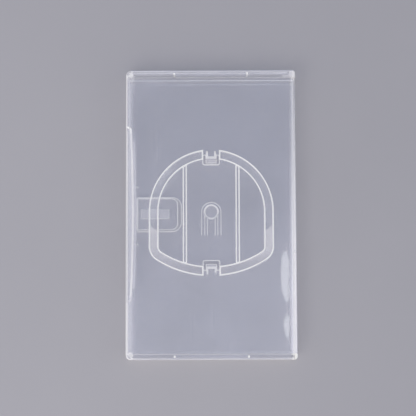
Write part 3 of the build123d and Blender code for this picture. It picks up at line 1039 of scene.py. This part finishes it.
    def is_deep_at(self, face: Face, place: Vector, solid: BVHTree) -> bool:
        """Tells whether the plastic behind one place on a face is deep and narrow.

        Args:
            face: the face.
            place: the place on it.
            solid: the piece, for casting rays.

        Returns:
            True where it is.
        """
        inward = -face.normal
        start = place + inward * RAY_START
        depth = solid.ray_cast(start, inward, self.reach)[3] or self.reach
        if depth < self.deep_from:
            return False
        across = face.normal.orthogonal().normalized()
        along = face.normal.cross(across)
        slanted = ((across + along).normalized(), (across - along).normalized())
        for share, narrow in self.narrow_at:
            probe = start + inward * depth * share
            for way in (across, along, *slanted):
                if sum(solid.ray_cast(probe, d, self.reach)[3] or self.reach for d in (way, -way)) < narrow:
                    return True
        return False


# Sleeve film


def thicken(shape: Shape, thickness: float) -> None:
    """Gives a sheet its thickness, with its points, edges and faces in the same order each time.

    Args:
        shape: the sheet.
        thickness: how thick it gets.
    """
    bmesh.ops.solidify(shape, geom=shape.faces, thickness=thickness)
    bmesh.ops.recalc_face_normals(shape, faces=shape.faces)
    for rank, vert in enumerate(sorted(shape.verts, key=lambda v: tuple(v.co))):
        vert.index = rank
    shape.verts.sort()
    for parts in (shape.edges, shape.faces):
        for rank, part in enumerate(sorted(parts, key=lambda p: sorted(v.index for v in p.verts))):
            part.index = rank
        parts.sort()


@dataclass
class SleevePanel:
    """One flat panel of the loose film sleeve, with a slow swell towards the case."""

    piece: str
    node: str
    body: str
    side: Side
    thickness: float = 0.15 * MM
    swell: float = 0.14 * MM
    sag_most: float = 0.252 * MM
    step: float = 2.6 * MM
    weld: float = 1.2 * MM
    margin: float = 0.55 * MM
    border: float = 0.5 * MM
    dip: float = 0.24 * MM
    dip_spread: float = 8.0 * MM
    dip_end: float = 1.6 * MM
    crumple: tuple[float, float] = (-66.0 * MM, 11.0 * MM)
    ease: float = 6.0 * MM

    def build(self, looks: list[Material]) -> Object:
        """Makes the panel and puts it in place of its node.

        Args:
            looks: the materials of the film, of its welded edge and of its cut border.

        Returns:
            The finished object.
        """
        low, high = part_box(self.node)
        across = 2 if self.side is Side.SPINE else 0
        width, length = high[across] - low[across], high.y - low.y
        shape = bmesh.new()
        columns, rows = max(6, round(width / self.step)), round(length / self.step)
        bmesh.ops.create_grid(shape, x_segments=columns, y_segments=rows, size=0.5)
        bmesh.ops.scale(shape, vec=(width, length, 1.0), verts=shape.verts)
        if self.side is not Side.SPINE:
            inner = list(shape.faces)
            for wide, look in ((self.margin, 0), (self.border, 2)):
                ring = bmesh.ops.inset_region(
                    shape, faces=inner, thickness=wide, use_boundary=True, use_even_offset=True
                )
                for face in ring["faces"]:
                    face.material_index = look
        middle = (low + high) / 2
        for vert in shape.verts:
            along, up = vert.co.x, vert.co.y
            depth = self.thickness + self.sag(along, up, width, length)
            if self.side is Side.SPINE:
                vert.co = (high.x - depth, up + middle.y, middle.z - along)
            else:
                outside = high.z - depth if self.side is Side.BACK else low.z + depth
                vert.co = (along + middle.x, up + middle.y, outside)
        if self.side is not Side.SPINE:
            weld_end = low.x + self.weld + self.step / 2
            for face in shape.faces:
                if face.material_index == 0 and face.calc_center_median().x < weld_end:
                    face.material_index = 1
        if self.side is Side.FRONT:
            bmesh.ops.reverse_faces(shape, faces=shape.faces)
        thicken(shape, self.thickness)
        made = finished_object(shape, self.piece, looks, SHARP_FROM)
        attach(made, self.body)
        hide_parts(self.node)
        return made

    def sag(self, along: float, up: float, width: float, length: float) -> float:
        """How far the film stands back from its outer face at a place on it.

        Args:
            along: the place across the panel, from its middle.
            up: the place along the panel, from its middle.
            width: the panel's size across.
            length: its size along.

        Returns:
            A distance of no more than sag_most, and none at the borders.
        """
        wave = noise.noise(Vector((along * 38.0, up * 17.0, 3.0 + len(self.piece))))
        wave += 0.5 * noise.noise(Vector((along * 90.0, up * 40.0, 9.0)))
        ease = min(1.0, max(0.0, (length / 2 - abs(up)) / self.ease))
        loose = self.swell * max(0.0, min(1.0, 0.5 + 0.5 * wave))
        loose *= min(ease, 1.0, max(0.0, (width / 2 - abs(along)) / self.ease))
        if self.side is Side.SPINE:
            return loose
        to_fold = width / 2 - along
        drawn = max(0.0, 1.0 - to_fold / self.dip_spread) * min(1.0, to_fold / self.dip_end)
        pull = 0.4 + 1.1 * noise.noise(Vector((up * 40.0, 45.5, 3.9)))
        pull += 0.3 * noise.noise(Vector((along * 120.0, up * 90.0, 7.0)))
        pull += 0.5 * max(0.0, 1.0 - abs(up - self.crumple[0]) / self.crumple[1])
        return min(self.sag_most, loose + self.dip * drawn * ease * max(0.0, pull))


@dataclass
class SleeveFold:
    """The narrow strip of film that turns round one hinge, from a panel to the spine."""

    piece: str
    panel_node: str
    panel_body: str
    side: Side
    thickness: float = 0.15 * MM
    steps: int = 8
    runs: int = 64

    def build(self, film: Material) -> Object:
        """Makes the fold, which bends between the panel and the spine.

        Args:
            film: the film's material.

        Returns:
            The finished object.
        """
        panel_low, panel_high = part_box(self.panel_node)
        spine_low, spine_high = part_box("spine_film")
        inset = self.thickness
        top = self.side is Side.BACK
        level = panel_high.z - inset if top else panel_low.z + inset
        corner = Vector((panel_high.x, panel_low.y, spine_high.z if top else spine_low.z))
        shape = bmesh.new()
        first = shape.verts.new((corner.x, corner.y, level))
        turn = math.radians(90.0 if top else -90.0)
        bmesh.ops.spin(
            shape, geom=[first], cent=corner, axis=(0.0, 1.0, 0.0), angle=turn, steps=self.steps,
            use_merge=False,
        )
        reach = (spine_high.x - inset - corner.x) / abs(level - corner.z)
        for vert in shape.verts:
            vert.co.x = corner.x + (vert.co.x - corner.x) * reach
        row = list(shape.edges)
        run = (0.0, (panel_high.y - panel_low.y) / self.runs, 0.0)
        for _ in range(self.runs):
            drawn = bmesh.ops.extrude_edge_only(shape, edges=row)["geom"]
            row = [g for g in drawn if isinstance(g, bmesh.types.BMEdge)]
            moved = [g for g in drawn if isinstance(g, bmesh.types.BMVert)]
            bmesh.ops.translate(shape, verts=moved, vec=run)
        bmesh.ops.recalc_face_normals(shape, faces=shape.faces)
        thicken(shape, self.thickness)
        made = finished_object(shape, self.piece, [film], SHARP_FROM)
        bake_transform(made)
        return made


# Studio


@dataclass(frozen=True)
class Softbox:
    """A soft lamp that faces the case."""

    name: str
    place: tuple[float, float, float]
    size: tuple[float, float]
    power: float
    colour: Colour = (1.0, 1.0, 1.0)

    def hang(self) -> None:
        """Hangs the lamp."""
        light = bpy.data.lights.new(self.name, "AREA")
        light.shape = "RECTANGLE"
        light.size, light.size_y = self.size
        light.energy = self.power
        light.color = self.colour
        hung = bpy.data.objects.new(self.name, light)
        bpy.context.scene.collection.objects.link(hung)
        hung.location = self.place
        hung.rotation_euler = (-Vector(self.place)).to_track_quat("-Z", "Y").to_euler()


LAMPS = (
    Softbox("key_softbox", (-0.75, -0.95, 1.35), (0.8, 0.8), 12.8, (1.0, 0.975, 0.965)),
    Softbox("side_softbox", (1.5, -0.1, 1.1), (1.0, 1.0), 2.4, (0.95, 0.97, 1.0)),
    Softbox("strip_softbox", (0.30, 0.01, 1.5), (0.16, 0.3), 0.40),
)


@dataclass
class Studio:
    """The camera over the case, the grey paper that it lies on, and the soft lamps."""

    aim: tuple[float, float, float] = (-2.33 * MM, 4.2 * MM, 7.0 * MM)
    distance: float = 0.9
    tilt: float = math.radians(5.8)
    roll: float = math.radians(-0.22)
    field_of_view: float = math.radians(16.147)
    far_light: float = 0.40
    near_light: float = 1.0
    far_colour: Colour = (0.62, 0.74, 1.05)
    near_colour: Colour = (0.905, 0.873, 0.852)
    near_from: tuple[float, float] = (0.2, -0.42)
    floor_drop: float = 0.3 * MM
    floor_half: float = 4.0

    def build(self) -> None:
        """Makes the camera, the floor, the room's light and the lamps."""
        scene = bpy.context.scene
        scene.view_settings.view_transform = "Standard"
        scene.cycles.max_bounces = 24
        scene.cycles.transparent_max_bounces = 96
        scene.camera = self.camera()
        self.floor()
        scene.world = self.room()
        for lamp in LAMPS:
            lamp.hang()

    def camera(self) -> Object:
        """Places the camera at the angle that the case is seen from.

        Returns:
            The camera.
        """
        lens = bpy.data.cameras.new("camera")
        lens.sensor_width = 36.0
        lens.lens = lens.sensor_width / 2 / math.tan(self.field_of_view / 2)
        view = bpy.data.objects.new("camera", lens)
        bpy.context.scene.collection.objects.link(view)
        away = Vector((0.0, -math.sin(self.tilt), math.cos(self.tilt)))
        view.location = Vector(self.aim) + away * self.distance
        view.rotation_euler = (self.tilt, 0.0, self.roll)
        return view

    def floor(self) -> None:
        """Lays the paper just below the case."""
        shape = bmesh.new()
        bmesh.ops.create_grid(shape, x_segments=8, y_segments=8, size=self.floor_half)
        bmesh.ops.translate(shape, verts=shape.verts, vec=(0.0, 0.0, -self.floor_drop))
        made = finished_object(shape, "floor", [FloorFinish().material()], SHARP_FROM)

    def room(self) -> bpy.types.World:
        """Makes the room's light, cooler and weaker behind the case.

        Returns:
            The world that holds it.
        """
        world = bpy.data.worlds.new("room")
        world.use_nodes = True
        tree = world.node_tree
        light = tree.nodes["Background"]
        sides = add_node(tree, "SeparateXYZ", Vector=add_node(tree, "TexCoord").outputs["Generated"])
        near = ramp(tree, sides.outputs["Y"], *self.near_from)
        strength = maths(tree, "MULTIPLY_ADD", near, self.near_light - self.far_light, self.far_light)
        tree.links.new(strength, light.inputs["Strength"])
        colour = colour_between(tree, near, self.far_colour, self.near_colour)
        tree.links.new(colour, light.inputs["Color"])
        return world


# Assembly


def main() -> None:
    """Builds the studio and every piece of the case, in order, and reports each."""
    logging.basicConfig(level=logging.INFO, format="%(name)s: %(message)s")
    Studio().build()
    groups = SurfaceGroups.build()
    looks = [finish.material(groups) for finish in FINISHES]
    film = SLEEVE_FILM.material(groups)
    spine_film = SPINE_FILM.material(groups)
    sleeve = [film, SLEEVE_WELD.material(groups), SLEEVE_BORDER.material(groups)]
    made = [
        MouldedPart(
            "tray_moulding", "back_tray", "tray", Side.BACK, zones=TRAY_ZONES, lip=FOOT_LIP
        ).build(looks),
        MouldedPart(
            "cover_moulding", "front_cover", "cover", Side.FRONT, zones=COVER_ZONES, tab_top=CLIP_TAB_TOP
        ).build(looks),
        MouldedPart("spine_moulding", "spine", "spine", Side.SPINE, zones=SPINE_ZONES).build(looks),
        SleevePanel("back_sleeve", "back_film", "tray", Side.BACK).build(sleeve),
        SleevePanel("front_sleeve", "front_film", "cover", Side.FRONT).build(sleeve),
        SleevePanel("spine_sleeve", "spine_film", "spine", Side.SPINE).build([spine_film]),
        SleeveFold("back_fold", "back_film", "tray", Side.BACK).build(film),
        SleeveFold("front_fold", "front_film", "cover", Side.FRONT).build(film),
    ]
    for piece in made:
        LOG.info("%s: %d faces", piece.name, len(piece.data.polygons))


if __name__ == "__main__":
    main()
